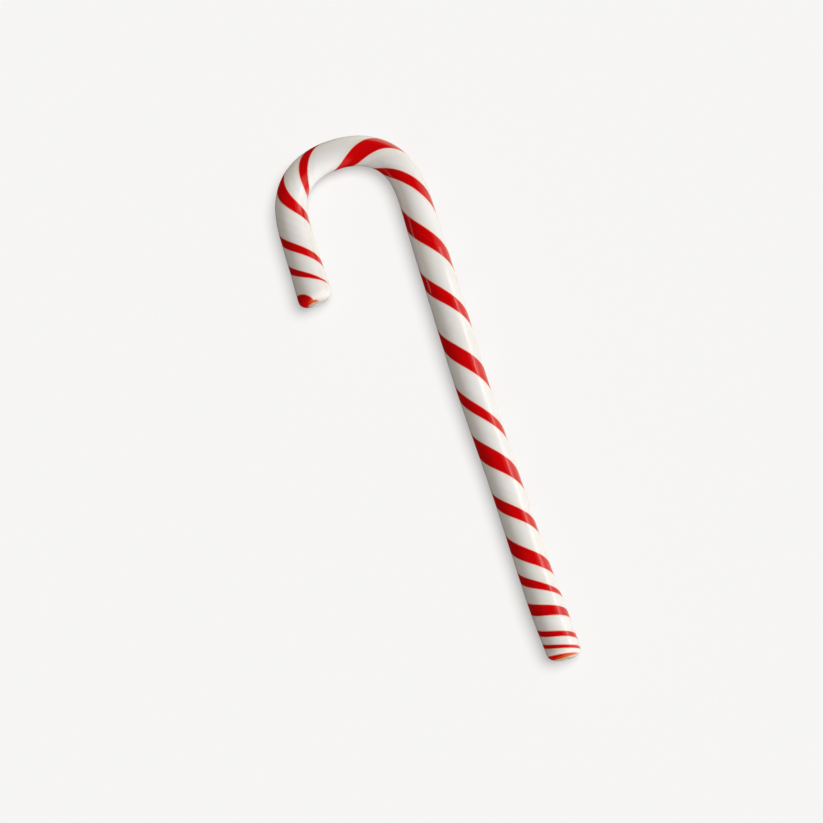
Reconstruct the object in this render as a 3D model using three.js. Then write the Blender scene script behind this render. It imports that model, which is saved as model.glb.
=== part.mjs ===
// A candy cane: one stick of pulled sugar, rolled round, twisted, cut off and bent over while warm.
// It lies on its side on a level surface. Units are millimetres and degrees.
// +X points away from the hook's arm, +Y up the stem to the crown, and +Z up from the surface.
// The origin is under the middle of its outline, on the surface.

import * as THREE from 'three';
import { mergeVertices } from 'three/addons/utils/BufferGeometryUtils.js';

// The stick, measured along its middle from the foot to the tip.
const STICK_LENGTH = 234;
const STICK_RADIUS = 5.14;

// Where rolling and stretching changed the radius: the middle of each place, by how much, and its reach.
const SWELLS = [
  { middle: 16.3, change: 0.21, reach: 9.5 }, // rolled thick beside the foot
  { middle: 56.3, change: -0.33, reach: 33 }, // drawn thin low on the stem
  { middle: 176.3, change: -0.54, reach: 32 }, // stretched over the crown
  { middle: 232.3, change: 0.2, reach: 6 }, // pinched out where the tip was cut
];

// The stem is bowed and a little wavy, and two overlapping bends turn the stick over into the hook.
const BOW = { turn: 3.4, length: 148 };
const WAVE = { turn: 0.75, length: 62, start: 54.3, fadeFrom: 120, fadeTo: 150 };
const BENDS = [
  { middle: 165.1, turn: 95, length: 50.6 }, // first shoulder
  { middle: 195.1, turn: 86, length: 43 }, // second shoulder, into the arm
];

// The ends are cut nearly square and melted round. Fullness 2 is an ellipse, and more is squarer.
const FOOT = { depth: 3.5, fullness: 2.8 };
const TIP = { depth: 3, fullness: 2.8 };

// Both cuts lean, which leaves the stick longer on the hook's outer side. The lean fades along the stick.
const CUT_LEAN = { angle: 6, fade: 7 };

// Cooling on a slab left a narrow flat along the whole underside.
const UNDERSIDE_FLAT_DEPTH = 0.1;

// Fineness of the faceted solid.
const SIDES = 32;
const END_RINGS = 7;
const STEM_STEP = 3;
const HOOK_STEP = 2;
const HOOK_START = 135;
const WALK_STEP = 0.25;

const SUGAR_WHITE = 0xf2efe9;

const radians = THREE.MathUtils.degToRad;
const clamp = THREE.MathUtils.clamp;

// A rise from 0 to 1 while x goes from 0 to 1, level at both ends.
function softStep(x) {
  const inside = clamp(x, 0, 1);
  return inside - Math.sin(2 * Math.PI * inside) / (2 * Math.PI);
}

// Direction of the stick, in degrees to the left of +Y.
function heading(along) {
  const waveFade = clamp((WAVE.fadeTo - along) / (WAVE.fadeTo - WAVE.fadeFrom), 0, 1);
  let angle = BOW.turn * (0.5 - clamp(along / BOW.length, 0, 1));
  angle += WAVE.turn * waveFade * Math.sin((2 * Math.PI * (along - WAVE.start)) / WAVE.length);
  for (const bend of BENDS) {
    angle += bend.turn * softStep((along - bend.middle) / bend.length + 0.5);
  }
  return angle;
}

function stickRadius(along) {
  let radius = STICK_RADIUS;
  for (const swell of SWELLS) {
    radius += swell.change * Math.exp(-(((along - swell.middle) / swell.reach) ** 2));
  }
  return radius;
}

// Points on the stick's middle line, one for each WALK_STEP, with the foot's end at 0, 0.
function walkMiddleLine() {
  const points = [new THREE.Vector2(0, 0)];
  for (let along = 0; along < STICK_LENGTH; along += WALK_STEP) {
    const angle = radians(heading(along + WALK_STEP / 2));
    const move = new THREE.Vector2(-Math.sin(angle), Math.cos(angle)).multiplyScalar(WALK_STEP);
    points.push(points.at(-1).clone().add(move));
  }
  return points;
}

function pointOnMiddleLine(points, along) {
  const steps = clamp(along / WALK_STEP, 0, points.length - 1);
  const before = Math.min(Math.floor(steps), points.length - 2);
  return points[before].clone().lerp(points[before + 1], steps - before);
}

// Half of a squared-off ellipse: how far each ring is from the end, and its share of the radius.
function endRings(end) {
  const rings = [];
  for (let ring = 0; ring < END_RINGS; ring += 1) {
    const angle = (Math.PI / 2) * (ring / END_RINGS);
    rings.push({
      fromEnd: end.depth * (1 - Math.cos(angle) ** (2 / end.fullness)),
      share: Math.sin(angle) ** (2 / end.fullness),
    });
  }
  return rings;
}

// The straight stick's outline, from the axis at the foot to the axis at the tip.
function stickProfile() {
  const profile = [];
  for (const { fromEnd, share } of endRings(FOOT)) {
    profile.push(new THREE.Vector2(share * stickRadius(fromEnd), fromEnd));
  }
  const last = STICK_LENGTH - TIP.depth;
  for (let along = FOOT.depth; along < last - HOOK_STEP / 2;) {
    profile.push(new THREE.Vector2(stickRadius(along), along));
    along += along < HOOK_START ? STEM_STEP : HOOK_STEP;
  }
  profile.push(new THREE.Vector2(stickRadius(last), last));
  for (const { fromEnd, share } of endRings(TIP).reverse()) {
    const along = STICK_LENGTH - fromEnd;
    profile.push(new THREE.Vector2(share * stickRadius(along), along));
  }
  return profile;
}

// How far the leaning cuts move a point along the stick, for a point that far to the outer side.
function leanShift(along, side) {
  const atFoot = Math.max(0, 1 - along / CUT_LEAN.fade);
  const atTip = Math.max(0, 1 - (STICK_LENGTH - along) / CUT_LEAN.fade);
  return side * (atTip - atFoot) * Math.tan(radians(CUT_LEAN.angle));
}

// Bends the straight stick over and lays it down, pressing its underside flat on the surface.
function bendStick(geometry) {
  const middleLine = walkMiddleLine();
  const position = geometry.getAttribute('position');
  for (let index = 0; index < position.count; index += 1) {
    const side = position.getX(index);
    const along = position.getY(index);
    const middle = pointOnMiddleLine(middleLine, along);
    const angle = radians(heading(along));
    const shift = leanShift(along, side);
    const height = position.getZ(index) + stickRadius(along) - UNDERSIDE_FLAT_DEPTH;
    position.setXYZ(
      index,
      middle.x + side * Math.cos(angle) - shift * Math.sin(angle),
      middle.y + side * Math.sin(angle) + shift * Math.cos(angle),
      Math.max(0, height),
    );
  }
}

function makeCane() {
  const facetTurn = Math.PI / SIDES; // puts one facet, not an edge, underneath
  let geometry = new THREE.LatheGeometry(stickProfile(), SIDES, facetTurn);
  geometry.deleteAttribute('normal');
  geometry.deleteAttribute('uv');
  geometry = mergeVertices(geometry);
  bendStick(geometry);
  geometry.computeBoundingBox();
  const middle = geometry.boundingBox.getCenter(new THREE.Vector3());
  geometry.translate(-middle.x, -middle.y, 0);
  geometry.computeVertexNormals();
  const material = new THREE.MeshStandardMaterial({ color: SUGAR_WHITE, roughness: 0.15, metalness: 0 });
  const cane = new THREE.Mesh(geometry, material);
  cane.name = 'cane';
  return cane;
}

const candyCane = new THREE.Group();
candyCane.add(makeCane());

export default candyCane;
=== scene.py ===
"""The finished look of a candy cane: one glossy striped stick of sugar on a pale table.

Shapes are worked out in millimetres along the stick and written in metres.
A point on the stick is given by how far along it is from the foot, and its turn round the stick in degrees:
0 is the top, 90 the hook's outer side and -90 the side of the hook's gap.
"""
import math

import bpy
import numpy as np
from mathutils import Matrix, Vector


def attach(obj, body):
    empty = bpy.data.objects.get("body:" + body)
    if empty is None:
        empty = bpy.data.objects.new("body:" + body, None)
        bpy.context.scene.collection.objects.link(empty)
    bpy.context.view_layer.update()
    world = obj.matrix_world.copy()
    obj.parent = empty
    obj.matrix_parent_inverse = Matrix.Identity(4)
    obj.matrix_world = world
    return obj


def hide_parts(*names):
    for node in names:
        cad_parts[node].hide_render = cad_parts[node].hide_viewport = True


MM = 0.001

# The stick, as in the CAD part.
STICK_LENGTH = 234.0
STICK_RADIUS = 5.14
SWELLS = [  # middle, change of radius, reach
    (16.3, 0.21, 9.5),
    (56.3, -0.33, 33.0),
    (176.3, -0.54, 32.0),
    (232.3, 0.2, 6.0),
]
BOW_TURN, BOW_LENGTH = 3.4, 148.0
WAVE_TURN, WAVE_LENGTH, WAVE_START = 0.75, 62.0, 54.3
WAVE_FADE_FROM, WAVE_FADE_TO = 120.0, 150.0
BENDS = [  # middle, turn, length
    (165.1, 95.0, 50.6),
    (195.1, 86.0, 43.0),
]
FOOT_DEPTH = 3.5
TIP_DEPTH = 3.0
END_FULLNESS = 2.8
CUT_LEAN, CUT_LEAN_FADE = 6.0, 7.0
UNDERSIDE_FLAT_DEPTH = 0.1

# Fineness of the finished mesh.
SIDES = 128
END_RINGS = 22
RING_STEP = 0.34
WALK_STEP = 0.05
UNWRAP_STRIPS = 3
UNWRAP_MARGIN = 0.004
POLE_UNWRAP_REACH = 0.3

# The two red stripes. Each row is one crossing of the top, in order from the foot:
# where the red starts and ends, and how far each of those edges moves along in a full turn there.
WIDE_STRIPE = [
    (0.3, 0.25, 3, 4),
    (3.0, 4.0, 8, 10),
    (13.3, 16.5, 9, 13),
    (29.5, 34.3, 23, 27),
    (58.6, 65.6, 29, 34),
    (91.5, 98.1, 35, 34),
    (130.5, 137.2, 35, 39),
    (166.3, 173.6, 30, 32),
    (199.9, 204.3, 30, 25),
    (225.1, 226.7, 22, 15),
]
NARROW_STRIPE = [
    (0.35, 1.3, -1.5, 3),
    (6.7, 8.3, 9, 11),
    (21.4, 23.8, 17, 23),
    (43.6, 47.9, 25, 28),
    (75.5, 79.6, 35, 39),
    (111.7, 117.0, 33, 38),
    (150.5, 155.6, 42, 43),
    (188.8, 192.5, 32, 29),
    (216.1, 218.9, 26, 23),
    (233.6, 233.85, 8, 0),
]

# The narrow stripe ends in a rounded drop of red at the tip: where it is round the stick and along it.
DROP_TURN, DROP_HALF_TURN = 74.0, 64.0
DROP_END, DROP_LENGTH = 233.8, 3.7

# Near the two ends the red is a thin film and looks amber. On top of the foot the amber fades from its full
# strength to none between two places, and it gains as much again for each film turn to the outer side.
FOOT_FILM_FULL, FOOT_FILM_NONE, FOOT_FILM_TURN = 0.25, 1.15, 170.0

# At the tip's film edge, which is a turn, it grows from none to its full strength between two places, and it
# gains as much again for each film turn towards the hook's gap.
TIP_FILM_NONE, TIP_FILM_FULL, TIP_FILM_TURN, TIP_FILM_EDGE = 233.1, 234.4, 50.0, 32.0

# The places between which there is no amber at all.
FOOT_FILM_LIMIT, TIP_FILM_LIMIT = 2.3, 232.1

# The white is creamy on the foot's end face.
CREAM_END = 0.5

# The underside lost its gloss where the stick lay on the slab, from the first turn to the second.
UNDERSIDE_FROM, UNDERSIDE_TO = 115.0, 145.0

# Relief of the surface: the red stands a little proud, with a fine groove along its edges.
RED_RISE = 0.015
RED_RISE_WIDTH = 0.25
GROOVE_DEPTH = 0.02
GROOVE_WIDTH = 0.12
ROLLING_WAVES = [  # depth, waves in a turn, waves along the stick, phase
    (0.012, 2, 9.0, 0.4),
    (0.010, 3, 14.0, 1.9),
    (0.006, 5, 23.0, 3.1),
]

# The sugar's colours.
WHITE_SUGAR = (0.885, 0.875, 0.862, 1)
WHITE_SUGAR_CLOUD = (0.85, 0.835, 0.81, 1)
PINK_BLEED = (0.88, 0.73, 0.68, 1)
PALE_RIM = (0.82, 0.42, 0.31, 1)
RED_SUGAR = (0.73, 0.0012, 0.0025, 1)
DEEP_RED_SUGAR = (0.58, 0.0008, 0.002, 1)
CREAM_SUGAR = (0.90, 0.78, 0.58, 1)
AMBER_FILM = (0.70, 0.17, 0.008, 1)

# Where the colours change, in millimetres inside the red's edge. Negative is in the white.
BLEED_FROM, BLEED_TO, BLEED_STRENGTH = -1.6, -0.1, 0.30
RIM_FROM, RIM_TO, RIM_STRENGTH = -0.30, -0.04, 0.8
RED_EDGE_HALF_WIDTH = 0.10
EDGE_WOBBLE = 0.05

# Patterns drawn out along the twisted sugar: how much they are stretched, their fineness and their detail.
FINE_LINES = ((1, 1, 0.03), 2.2, 3.0)
CLOUDS = ((1, 1, 0.12), 0.35, 2.0)
WOBBLES = ((1, 1, 0.25), 1.1, 2.0)
LINES_HEIGHT, LINES_STRENGTH = 0.01, 0.6

# The gloss: roughness between the fine lines, on them, and where the underside has lost its polish.
POLISH_ROUGHNESS, LINES_ROUGHNESS, UNDERSIDE_ROUGHNESS = 0.05, 0.09, 0.7
SUGAR_IOR = 1.5

# Light under the surface: its share in the white and in the red, how wide the change between them is, and
# how far it reaches in millimetres, with a part of that for red, green and blue.
WHITE_INNER_LIGHT, RED_INNER_LIGHT = 0.5, 0.05
INNER_LIGHT_HALF_WIDTH = 0.2
INNER_LIGHT_REACH = 1.8
INNER_LIGHT_COLOURS = (1.0, 0.7, 0.5)

# The camera: what it looks at, how far it leans from straight down, how far it is rolled, how far away it
# is, and the width that it sees at that distance. Its sensor is in millimetres, and its clipping in metres.
CAMERA_TARGET = (-1.857, -1.313, 5.0)
CAMERA_TILT = 11.0
CAMERA_ROLL = 17.96
CAMERA_DISTANCE = 1000.0
VIEW_WIDTH = 246.9
SENSOR_WIDTH = 36
CLIP_START, CLIP_END = 0.05, 30

# The soft lights on the cane, in metres and degrees. One that is seen as "shade" only shades matt colour,
# and one that is seen as "shine" only shows as a reflection.
NEUTRAL = (1, 1, 1)
WARM = (1, 0.93, 0.83)
PANELS = [  # name, azimuth, elevation, distance, (width, height), radiance, colour, what it is seen as
    ("key", -9, 37, 1.0, (0.5, 0.4), 11.0, NEUTRAL, "shade"),
    ("near_fill", -82, 14, 1.0, (0.8, 0.5), 5.0, NEUTRAL, "shade"),
    ("far_fill", 85, 20, 1.0, (0.8, 0.5), 3.1, WARM, "shade"),
    ("left_fill", 180, 12, 1.0, (0.8, 0.5), 1.2, WARM, "shade"),
    ("high_strip", 2, 26, 0.34, (0.20, 0.055), 3.8, NEUTRAL, "shine"),
    ("low_strip", 2, 13, 0.34, (0.20, 0.03), 2.8, NEUTRAL, "shine"),
]

# One high light that shades only the table, and the table: its grey, how bright that light makes it, its own
# glow, and how far it reaches from the cane in metres.
HIGH_LIGHT_AZIMUTH = 10
HIGH_LIGHT_ELEVATION = 71
HIGH_LIGHT_WIDTH = 40
TABLE_ALBEDO = 0.25
TABLE_LIT = 0.43
TABLE_GLOW = 0.46
TABLE_TINT = (1, 0.99, 0.975, 1)
TABLE_ROUGHNESS = 0.9
TABLE_REACH = 6

# What surrounds the cane: the backdrop, and an even dim light on matt colour.
BACKDROP = (0.92, 0.91, 0.895, 1)
AMBIENT = 0.135
AMBIENT_TINT = (1, 0.94, 0.85)

# What the gloss reflects: a bright table, and a window to the right and nearer. Each comes in between the
# two numbers of its edge, which are parts of a direction.
BRIGHT_TABLE = 1.25
TABLE_EDGE_RIGHT = (-0.1, 0.4)
TABLE_EDGE_HEIGHT = (0.25, -0.05)
WINDOW, NO_WINDOW = 1.0, 0.02
WINDOW_RIGHT, WINDOW_NEARER = 0.82, 0.57
WINDOW_EDGE = (0.28, 0.7)
REFLECTED_TINT = (1.05, 0.96, 0.80)


def soft_step(x):
    """A rise from 0 to 1 while x goes from 0 to 1, level at both ends."""
    inside = np.clip(x, 0, 1)
    return inside - np.sin(2 * np.pi * inside) / (2 * np.pi)


def heading(along):
    """Direction of the stick, in radians to the left of +Y."""
    fade = np.clip((WAVE_FADE_TO - along) / (WAVE_FADE_TO - WAVE_FADE_FROM), 0, 1)
    angle = BOW_TURN * (0.5 - np.clip(along / BOW_LENGTH, 0, 1))
    angle = angle + WAVE_TURN * fade * np.sin(2 * np.pi * (along - WAVE_START) / WAVE_LENGTH)
    for middle, turn, length in BENDS:
        angle = angle + turn * soft_step((along - middle) / length + 0.5)
    return np.radians(angle)


def stick_radius(along):
    """Half the stick's thickness at places along it."""
    radius = np.full(np.shape(along), STICK_RADIUS)
    for middle, change, reach in SWELLS:
        radius = radius + change * np.exp(-(((along - middle) / reach) ** 2))
    return radius


def middle_line(along):
    """Points on the stick's middle line, with the foot's end at 0, 0."""
    walk = np.arange(0, STICK_LENGTH + WALK_STEP, WALK_STEP)
    angle = heading(walk[:-1] + WALK_STEP / 2)
    x = np.concatenate([[0], np.cumsum(-np.sin(angle))]) * WALK_STEP
    y = np.concatenate([[0], np.cumsum(np.cos(angle))]) * WALK_STEP
    return np.interp(along, walk, x), np.interp(along, walk, y)


def lean_shift(along, side):
    """How far the leaning cuts move a point along the stick, for a point that far to the outer side."""
    at_foot = np.maximum(0, 1 - along / CUT_LEAN_FADE)
    at_tip = np.maximum(0, 1 - (STICK_LENGTH - along) / CUT_LEAN_FADE)
    return side * (at_tip - at_foot) * math.tan(math.radians(CUT_LEAN))


def stick_rings():
    """Where each ring of the mesh is along the stick, and its share of the radius."""
    quarter = np.linspace(0, np.pi / 2, END_RINGS + 1)[1:-1]
    from_end = 1 - np.cos(quarter) ** (2 / END_FULLNESS)
    share = np.sin(quarter) ** (2 / END_FULLNESS)
    count = round((STICK_LENGTH - FOOT_DEPTH - TIP_DEPTH) / RING_STEP)
    straight = np.linspace(FOOT_DEPTH, STICK_LENGTH - TIP_DEPTH, count)
    along = np.concatenate([FOOT_DEPTH * from_end, straight, STICK_LENGTH - TIP_DEPTH * from_end[::-1]])
    shares = np.concatenate([share, np.ones(count), share[::-1]])
    return along, shares


def edge_at(phase, places, turn_lengths):
    """Where a stripe's edge is at a phase in degrees, by a smooth curve through its crossings of the top."""
    knots = 360.0 * np.arange(len(places))
    places = np.array(places, float)
    slopes = np.array(turn_lengths, float) / 360
    before = np.clip(np.floor(phase / 360).astype(int), 0, len(places) - 2)
    t = (phase - knots[before]) / 360
    inside = np.clip(t, 0, 1)
    a, b = places[before], places[before + 1]
    slope_a, slope_b = 360 * slopes[before], 360 * slopes[before + 1]
    curve = (
        (1 + 2 * inside) * (1 - inside) ** 2 * a
        + inside * (1 - inside) ** 2 * slope_a
        + inside ** 2 * (3 - 2 * inside) * b
        + inside ** 2 * (inside - 1) * slope_b
    )
    return curve + np.minimum(t, 0) * slope_a + np.maximum(t - 1, 0) * slope_b


def stripe_depth(along, turn, rows):
    """Millimetres inside a stripe's nearest edge, measured square to it. Negative is outside."""
    starts, ends, start_turns, end_turns = zip(*rows)
    depth = np.full(along.shape, -1e3)
    for crossing in range(-1, len(rows) + 1):
        phase = 360.0 * crossing - turn
        start = edge_at(phase, starts, start_turns)
        end = edge_at(phase, ends, end_turns)
        pitch = np.interp(along, starts, start_turns)
        lean = np.arctan2(pitch, 2 * np.pi * STICK_RADIUS)
        depth = np.maximum(depth, np.minimum(along - start, end - along) * np.cos(lean))
    return depth


def drop_depth(along, turn):
    """Millimetres inside the edge of the drop of red at the tip, roughly. Negative is outside."""
    away = np.hypot((turn - DROP_TURN) / DROP_HALF_TURN, (DROP_END - along) / DROP_LENGTH)
    return np.minimum((1 - away) * DROP_LENGTH, DROP_END - along)


def red_depth(along, turn):
    """Millimetres inside the nearest edge of the red. Negative is in the white."""
    stripes = np.maximum(stripe_depth(along, turn, WIDE_STRIPE), stripe_depth(along, turn, NARROW_STRIPE))
    return np.maximum(stripes, drop_depth(along, turn))


def fibre_turn(along, turn):
    """Degrees round the stick, measured from a line that twists with the sugar."""
    middles = [(start + end) / 2 for start, end, _, _ in WIDE_STRIPE]
    return turn + np.interp(along, middles, 360.0 * np.arange(len(middles)))


def film_tint(along, turn):
    """How amber the red is: 0 along the stick, rising to 1 where the film is thinnest at the ends."""
    foot = (FOOT_FILM_NONE - along) / (FOOT_FILM_NONE - FOOT_FILM_FULL) + turn / FOOT_FILM_TURN
    tip = (along - TIP_FILM_NONE) / (TIP_FILM_FULL - TIP_FILM_NONE) + (TIP_FILM_EDGE - turn) / TIP_FILM_TURN
    foot = np.where(along < FOOT_FILM_LIMIT, foot, 0)
    tip = np.where(along > TIP_FILM_LIMIT, tip, 0)
    return np.clip(np.maximum(foot, tip), 0, 1)


def surface_relief(along, turn, depth):
    """Millimetres that the finished surface stands above the plain stick."""
    relief = RED_RISE / (1 + np.exp(-depth / (RED_RISE_WIDTH / 4)))
    relief -= GROOVE_DEPTH * np.exp(-((depth / GROOVE_WIDTH) ** 2))
    fibre = np.radians(fibre_turn(along, turn))
    for height, around, lengthwise, phase in ROLLING_WAVES:
        relief += height * np.sin(around * fibre + 2 * np.pi * lengthwise * along / STICK_LENGTH + phase)
    return relief


def stick_surface(along, turn, share, raised):
    """Points in the part's frame, in millimetres, before centring."""
    radius = stick_radius(along)
    reach = share * (radius + raised)
    side = reach * np.sin(np.radians(turn))
    angle = heading(along)
    shift = lean_shift(along, side)
    x, y = middle_line(along)
    height = reach * np.cos(np.radians(turn)) + radius - UNDERSIDE_FLAT_DEPTH
    return np.stack([
        x + side * np.cos(angle) - shift * np.sin(angle),
        y + side * np.sin(angle) + shift * np.cos(angle),
        np.maximum(0, height),
    ], axis=-1)


def store_fibre(mesh, along, turn):
    """A place for textures that runs along the twisted sugar, in millimetres, with no seam."""
    fibre = np.radians(fibre_turn(along, turn))
    places = np.stack([STICK_RADIUS * np.cos(fibre), STICK_RADIUS * np.sin(fibre), along], axis=-1)
    ends = [(0, 0, 0), (0, 0, STICK_LENGTH)]
    attribute = mesh.attributes.new("fibre", "FLOAT_VECTOR", "POINT")
    everywhere = np.concatenate([places.reshape(-1, 3), ends])
    attribute.data.foreach_set("vector", everywhere.ravel().astype(np.float32))


def unwrapped(along, turn):
    """Where faces lie in the unwrapped square, from the place of each face's corners, one face a row."""
    strip_length = STICK_LENGTH / UNWRAP_STRIPS
    strip = np.clip(np.floor(along.mean(axis=1, keepdims=True) / strip_length), 0, UNWRAP_STRIPS - 1)
    across = UNWRAP_MARGIN + (along / strip_length - strip) * (1 - 2 * UNWRAP_MARGIN)
    side_margin = UNWRAP_MARGIN * UNWRAP_STRIPS
    up = side_margin + (turn / 360 + 0.5) * (1 - 2 * side_margin)
    return np.stack([across, (strip + up) / UNWRAP_STRIPS], axis=-1).reshape(-1, 2)


def without_jump(turn):
    """The turns of each face's corners, with no whole turn between the first corner and the others."""
    return turn + 360 * np.round((turn[:, :1] - turn) / 360)


def store_unwrap(mesh, along, turn, quads, caps):
    """Unwraps the stick into a few strips that lie side by side in the square."""
    flat_along = np.concatenate([along.ravel(), [-POLE_UNWRAP_REACH, STICK_LENGTH + POLE_UNWRAP_REACH]])
    flat_turn = turn.ravel()
    rim_turn = without_jump(flat_turn[caps[:, 1:]])
    cap_turn = np.concatenate([rim_turn.mean(axis=1, keepdims=True), rim_turn], axis=1)
    places = np.concatenate([
        unwrapped(flat_along[quads], without_jump(flat_turn[quads])),
        unwrapped(flat_along[caps], cap_turn),
    ])
    mesh.uv_layers.new(name="OFBake").data.foreach_set("uv", places.ravel().astype(np.float32))


def store_value(mesh, name, values, at_foot, at_tip):
    """Keeps a number for each point of the mesh, and one each for the foot's and the tip's middle."""
    attribute = mesh.attributes.new(name, "FLOAT", "POINT")
    everywhere = np.concatenate([values.ravel(), [at_foot, at_tip]])
    attribute.data.foreach_set("value", everywhere.astype(np.float32))


def stick_faces(rings):
    """Corners of the four-sided faces between rings, and of the triangles round the middle of each end."""
    index = np.arange(rings * SIDES).reshape(rings, SIDES)
    after = np.roll(index, -1, axis=1)
    quads = np.stack([index[:-1], index[1:], after[1:], after[:-1]], axis=-1).reshape(-1, 4)
    foot = np.full(SIDES, rings * SIDES)
    caps = np.concatenate([
        np.stack([foot, index[0], after[0]], axis=-1),
        np.stack([foot + 1, after[-1], index[-1]], axis=-1),
    ])
    return quads, caps


def make_cane():
    """The striped stick as one closed mesh, with what its material needs to know at each point."""
    ring_along, ring_share = stick_rings()
    ring_turn = np.arange(SIDES) * 360.0 / SIDES - 180
    along, turn = np.meshgrid(ring_along, ring_turn, indexing="ij")
    share = np.repeat(ring_share[:, None], SIDES, axis=1)
    depth = red_depth(along, turn)
    points = stick_surface(along, turn, share, surface_relief(along, turn, depth)).reshape(-1, 3)
    middles = stick_surface(np.array([0.0, STICK_LENGTH]), np.zeros(2), np.zeros(2), np.zeros(2))
    points = np.concatenate([points, middles])
    points[:, :2] -= (points[:, :2].min(0) + points[:, :2].max(0)) / 2
    quads, caps = stick_faces(len(ring_along))

    mesh = bpy.data.meshes.new("striped_cane")
    mesh.from_pydata((points * MM).tolist(), [], quads.tolist() + caps.tolist())
    mesh.polygons.foreach_set("use_smooth", [True] * len(mesh.polygons))
    mesh.update()

    underside = (np.abs(turn) - UNDERSIDE_FROM) / (UNDERSIDE_TO - UNDERSIDE_FROM)
    store_value(mesh, "red_depth", depth, -2, -2)
    store_value(mesh, "film_tint", film_tint(along, turn), 1, 1)
    store_value(mesh, "underside", underside, 0, 0)
    store_value(mesh, "cream_tint", np.clip(1 - along / CREAM_END, 0, 1), 1, 0)
    store_fibre(mesh, along, turn)
    store_unwrap(mesh, along, turn, quads, caps)
    cane = bpy.data.objects.new("striped_cane", mesh)
    bpy.context.scene.collection.objects.link(cane)
    return cane


class Graph:
    """Short ways to add shader nodes and join them up."""

    def __init__(self, tree):
        self.tree = tree

    def node(self, kind, **settings):
        node = self.tree.nodes.new(kind)
        for name, value in settings.items():
            setattr(node, name, value)
        return node

    def put(self, socket, value):
        if isinstance(value, bpy.types.NodeSocket):
            self.tree.links.new(value, socket)
        else:
            socket.default_value = value

    def attribute(self, name, output="Fac"):
        return self.node("ShaderNodeAttribute", attribute_name=name).outputs[output]

    def rise(self, value, low, high, to_low=0.0, to_high=1.0, smooth=True):
        """A rise from to_low to to_high while the value goes from low to high."""
        node = self.node("ShaderNodeMapRange", interpolation_type="SMOOTHSTEP" if smooth else "LINEAR")
        for name, entry in (("Value", value), ("From Min", low), ("From Max", high),
                            ("To Min", to_low), ("To Max", to_high)):
            self.put(node.inputs[name], entry)
        return node.outputs["Result"]

    def math(self, operation, a, b):
        node = self.node("ShaderNodeMath", operation=operation)
        self.put(node.inputs[0], a)
        self.put(node.inputs[1], b)
        return node.outputs["Value"]

    def mix(self, factor, a, b):
        node = self.node("ShaderNodeMix", data_type="RGBA")
        self.put(node.inputs["Factor"], factor)
        self.put(node.inputs["A"], a)
        self.put(node.inputs["B"], b)
        return node.outputs["Result"]

    def noise(self, place, stretch, scale, detail=2.0):
        """Noise from 0 to 1 on a stretched place."""
        mapping = self.node("ShaderNodeMapping")
        self.put(mapping.inputs["Vector"], place)
        self.put(mapping.inputs["Scale"], stretch)
        noise = self.node("ShaderNodeTexNoise")
        self.put(noise.inputs["Vector"], mapping.outputs["Vector"])
        self.put(noise.inputs["Scale"], scale)
        self.put(noise.inputs["Detail"], detail)
        return noise.outputs["Fac"]


def sugar_material():
    """Hard glossy sugar: cloudy white, and clear red with paler edges, pulled out in fine lines."""
    material = bpy.data.materials.new("glossy_sugar")
    material.use_nodes = True
    graph = Graph(material.node_tree)
    shader = material.node_tree.nodes["Principled BSDF"]

    depth = graph.attribute("red_depth")
    film = graph.attribute("film_tint")
    fibre = graph.attribute("fibre", "Vector")
    lines = graph.noise(fibre, *FINE_LINES)
    clouds = graph.noise(fibre, *CLOUDS)
    wobbles = graph.noise(fibre, *WOBBLES)
    wobble = graph.rise(wobbles, 0.25, 0.75, -EDGE_WOBBLE, EDGE_WOBBLE, smooth=False)
    depth = graph.math("ADD", depth, wobble)

    white = graph.mix(graph.rise(clouds, 0.35, 0.75), WHITE_SUGAR, WHITE_SUGAR_CLOUD)
    white = graph.mix(graph.attribute("cream_tint"), white, CREAM_SUGAR)
    white = graph.mix(graph.rise(depth, BLEED_FROM, BLEED_TO, 0.0, BLEED_STRENGTH), white, PINK_BLEED)
    rim = graph.mix(graph.rise(depth, RIM_FROM, RIM_TO, 0.0, RIM_STRENGTH), white, PALE_RIM)
    red = graph.mix(graph.rise(lines, 0.35, 0.70), RED_SUGAR, DEEP_RED_SUGAR)
    red = graph.mix(film, red, AMBER_FILM)
    colour = graph.mix(graph.rise(depth, -RED_EDGE_HALF_WIDTH, RED_EDGE_HALF_WIDTH), rim, red)
    graph.put(shader.inputs["Base Color"], colour)

    polish = graph.rise(lines, 0.3, 0.7, POLISH_ROUGHNESS, LINES_ROUGHNESS)
    roughness = graph.rise(graph.attribute("underside"), 0, 1, polish, UNDERSIDE_ROUGHNESS)
    graph.put(shader.inputs["Roughness"], roughness)
    shader.inputs["IOR"].default_value = SUGAR_IOR

    inner_edge = (-INNER_LIGHT_HALF_WIDTH, INNER_LIGHT_HALF_WIDTH)
    inner_light = graph.rise(depth, *inner_edge, WHITE_INNER_LIGHT, RED_INNER_LIGHT)
    graph.put(shader.inputs["Subsurface Weight"], inner_light)
    shader.inputs["Subsurface Radius"].default_value = INNER_LIGHT_COLOURS
    shader.inputs["Subsurface Scale"].default_value = INNER_LIGHT_REACH * MM

    bump = graph.node("ShaderNodeBump")
    graph.put(bump.inputs["Height"], lines)
    bump.inputs["Distance"].default_value = LINES_HEIGHT * MM
    bump.inputs["Strength"].default_value = LINES_STRENGTH
    graph.put(shader.inputs["Normal"], bump.outputs["Normal"])
    return material


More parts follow.
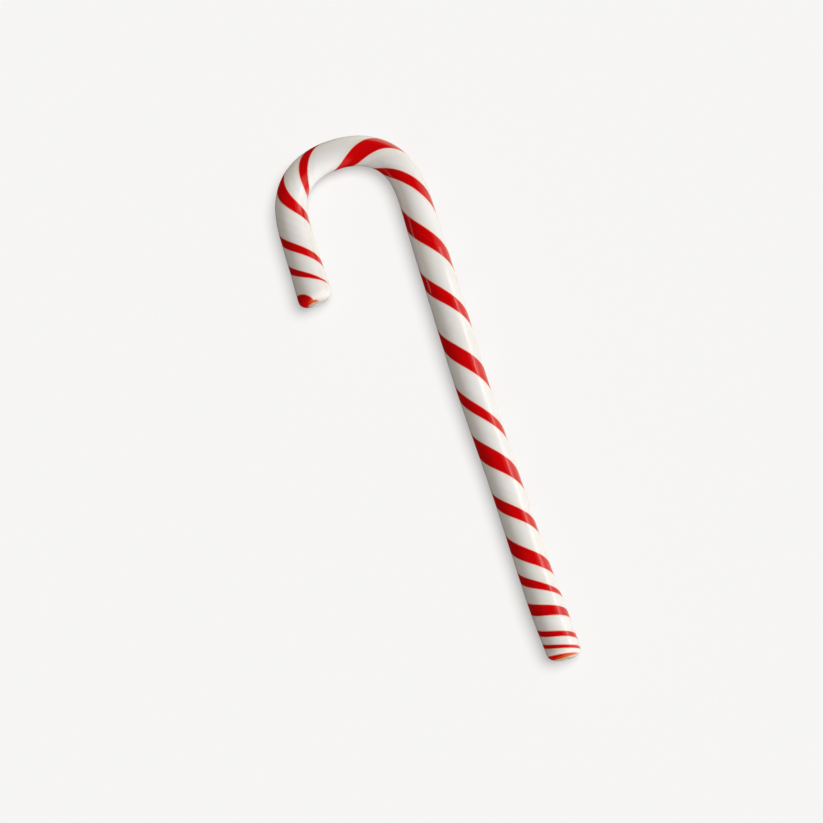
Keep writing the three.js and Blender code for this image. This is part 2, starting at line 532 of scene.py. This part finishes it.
def make_camera():
    """A distant camera that looks down from the foot's side, a little rolled."""
    tilt, roll = math.radians(CAMERA_TILT), math.radians(CAMERA_ROLL)
    look = Vector((0, math.sin(tilt), -math.cos(tilt)))
    up = Vector((0, math.cos(tilt), math.sin(tilt)))
    right = Vector((1, 0, 0))
    rolled_up = up * math.cos(roll) + right * math.sin(roll)
    rolled_right = right * math.cos(roll) - up * math.sin(roll)
    data = bpy.data.cameras.new("camera")
    data.sensor_width = SENSOR_WIDTH
    data.lens = SENSOR_WIDTH * CAMERA_DISTANCE / VIEW_WIDTH
    data.clip_start, data.clip_end = CLIP_START, CLIP_END
    camera = bpy.data.objects.new("camera", data)
    rotation = Matrix((rolled_right, rolled_up, -look)).transposed().to_4x4()
    place = Vector(CAMERA_TARGET) - look * CAMERA_DISTANCE
    camera.matrix_world = Matrix.Translation(place * MM) @ rotation
    bpy.context.scene.collection.objects.link(camera)
    bpy.context.scene.camera = camera


def towards(azimuth, elevation):
    """A unit vector. Azimuth 0 is +X and 90 is +Y."""
    a, e = math.radians(azimuth), math.radians(elevation)
    return Vector((math.cos(a) * math.cos(e), math.sin(a) * math.cos(e), math.sin(e)))


def make_panel(name, azimuth, elevation, distance, size, radiance, colour, seen_as, lit):
    """A rectangular soft light that faces the origin, with its width level."""
    data = bpy.data.lights.new(name, "AREA")
    data.shape = "RECTANGLE"
    data.size, data.size_y = size
    data.energy = radiance * math.pi * data.size * data.size_y
    data.color = colour
    panel = bpy.data.objects.new(name, data)
    direction = towards(azimuth, elevation)
    panel.location = direction * distance
    panel.rotation_mode = "QUATERNION"
    panel.rotation_quaternion = direction.to_track_quat("Z", "Y")
    panel.light_linking.receiver_collection = lit
    panel.visible_glossy = seen_as == "shine"
    panel.visible_diffuse = seen_as == "shade"
    bpy.context.scene.collection.objects.link(panel)


def make_lights(lit_cane, lit_table):
    """The soft lights on the cane, and the one high light on the table."""
    for panel in PANELS:
        make_panel(*panel, lit_cane)
    sun = bpy.data.lights.new("high_light", "SUN")
    sun.energy = TABLE_LIT * math.pi / TABLE_ALBEDO / math.sin(math.radians(HIGH_LIGHT_ELEVATION))
    sun.angle = math.radians(HIGH_LIGHT_WIDTH)
    high = bpy.data.objects.new("high_light", sun)
    high.rotation_mode = "QUATERNION"
    high.rotation_quaternion = towards(HIGH_LIGHT_AZIMUTH, HIGH_LIGHT_ELEVATION).to_track_quat("Z", "Y")
    high.light_linking.receiver_collection = lit_table
    bpy.context.scene.collection.objects.link(high)


def make_table():
    """A pale level surface that takes the cane's shadow."""
    mesh = bpy.data.meshes.new("table")
    corners = [(x * TABLE_REACH, y * TABLE_REACH, 0) for x, y in ((-1, -1), (1, -1), (1, 1), (-1, 1))]
    mesh.from_pydata(corners, [], [(0, 1, 2, 3)])
    material = bpy.data.materials.new("pale_table")
    material.use_nodes = True
    shader = material.node_tree.nodes["Principled BSDF"]
    shader.inputs["Base Color"].default_value = (TABLE_ALBEDO, TABLE_ALBEDO, TABLE_ALBEDO, 1)
    shader.inputs["Roughness"].default_value = TABLE_ROUGHNESS
    shader.inputs["Specular IOR Level"].default_value = 0
    shader.inputs["Emission Color"].default_value = TABLE_TINT
    shader.inputs["Emission Strength"].default_value = TABLE_GLOW
    material.cycles.emission_sampling = "NONE"
    mesh.materials.append(material)
    table = bpy.data.objects.new("table", mesh)
    table.visible_diffuse = False
    table.visible_glossy = False
    table.visible_shadow = False
    bpy.context.scene.collection.objects.link(table)
    return table


def make_world():
    """A pale backdrop, an even dim light on matt colour, and a bright table and window for the gloss."""
    world = bpy.data.worlds.new("world")
    world.use_nodes = True
    graph = Graph(world.node_tree)
    place = graph.node("ShaderNodeSeparateXYZ")
    graph.put(place.inputs["Vector"], graph.node("ShaderNodeTexCoord").outputs["Generated"])
    right, away, up = place.outputs["X"], place.outputs["Y"], place.outputs["Z"]

    low = graph.rise(up, *TABLE_EDGE_HEIGHT, 0.0, BRIGHT_TABLE)
    bright_table = graph.math("MULTIPLY", graph.rise(right, *TABLE_EDGE_RIGHT), low)
    to_right = graph.math("MULTIPLY", right, WINDOW_RIGHT)
    to_window = graph.math("SUBTRACT", to_right, graph.math("MULTIPLY", away, WINDOW_NEARER))
    window = graph.rise(to_window, *WINDOW_EDGE, NO_WINDOW, WINDOW)
    glow = graph.math("MULTIPLY", graph.math("MAXIMUM", bright_table, window), 1 / BRIGHT_TABLE)
    brightest = tuple(BRIGHT_TABLE * part for part in REFLECTED_TINT) + (1,)
    reflected = graph.mix(glow, (0, 0, 0, 1), brightest)

    ambient = tuple(AMBIENT * part for part in AMBIENT_TINT) + (1,)
    path = graph.node("ShaderNodeLightPath")
    seen = graph.mix(path.outputs["Is Camera Ray"], ambient, BACKDROP)
    seen = graph.mix(path.outputs["Is Glossy Ray"], seen, reflected)
    graph.put(world.node_tree.nodes["Background"].inputs["Color"], seen)
    bpy.context.scene.world = world


def collection_of(name, thing):
    """A collection with one thing in it, which a light can be told to shine on alone."""
    collection = bpy.data.collections.new(name)
    collection.objects.link(thing)
    return collection


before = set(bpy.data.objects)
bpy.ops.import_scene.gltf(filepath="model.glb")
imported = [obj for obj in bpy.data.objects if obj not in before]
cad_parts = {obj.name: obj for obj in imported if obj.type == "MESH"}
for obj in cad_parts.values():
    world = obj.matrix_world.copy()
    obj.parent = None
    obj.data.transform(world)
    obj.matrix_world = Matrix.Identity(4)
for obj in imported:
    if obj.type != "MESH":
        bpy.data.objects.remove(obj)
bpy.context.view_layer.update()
cane = make_cane()
cane.data.materials.append(sugar_material())
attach(cane, "root")
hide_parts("cane")
table = make_table()
make_lights(collection_of("lit_cane", cane), collection_of("lit_table", table))
make_world()
make_camera()
bpy.context.scene.view_settings.view_transform = "Standard"
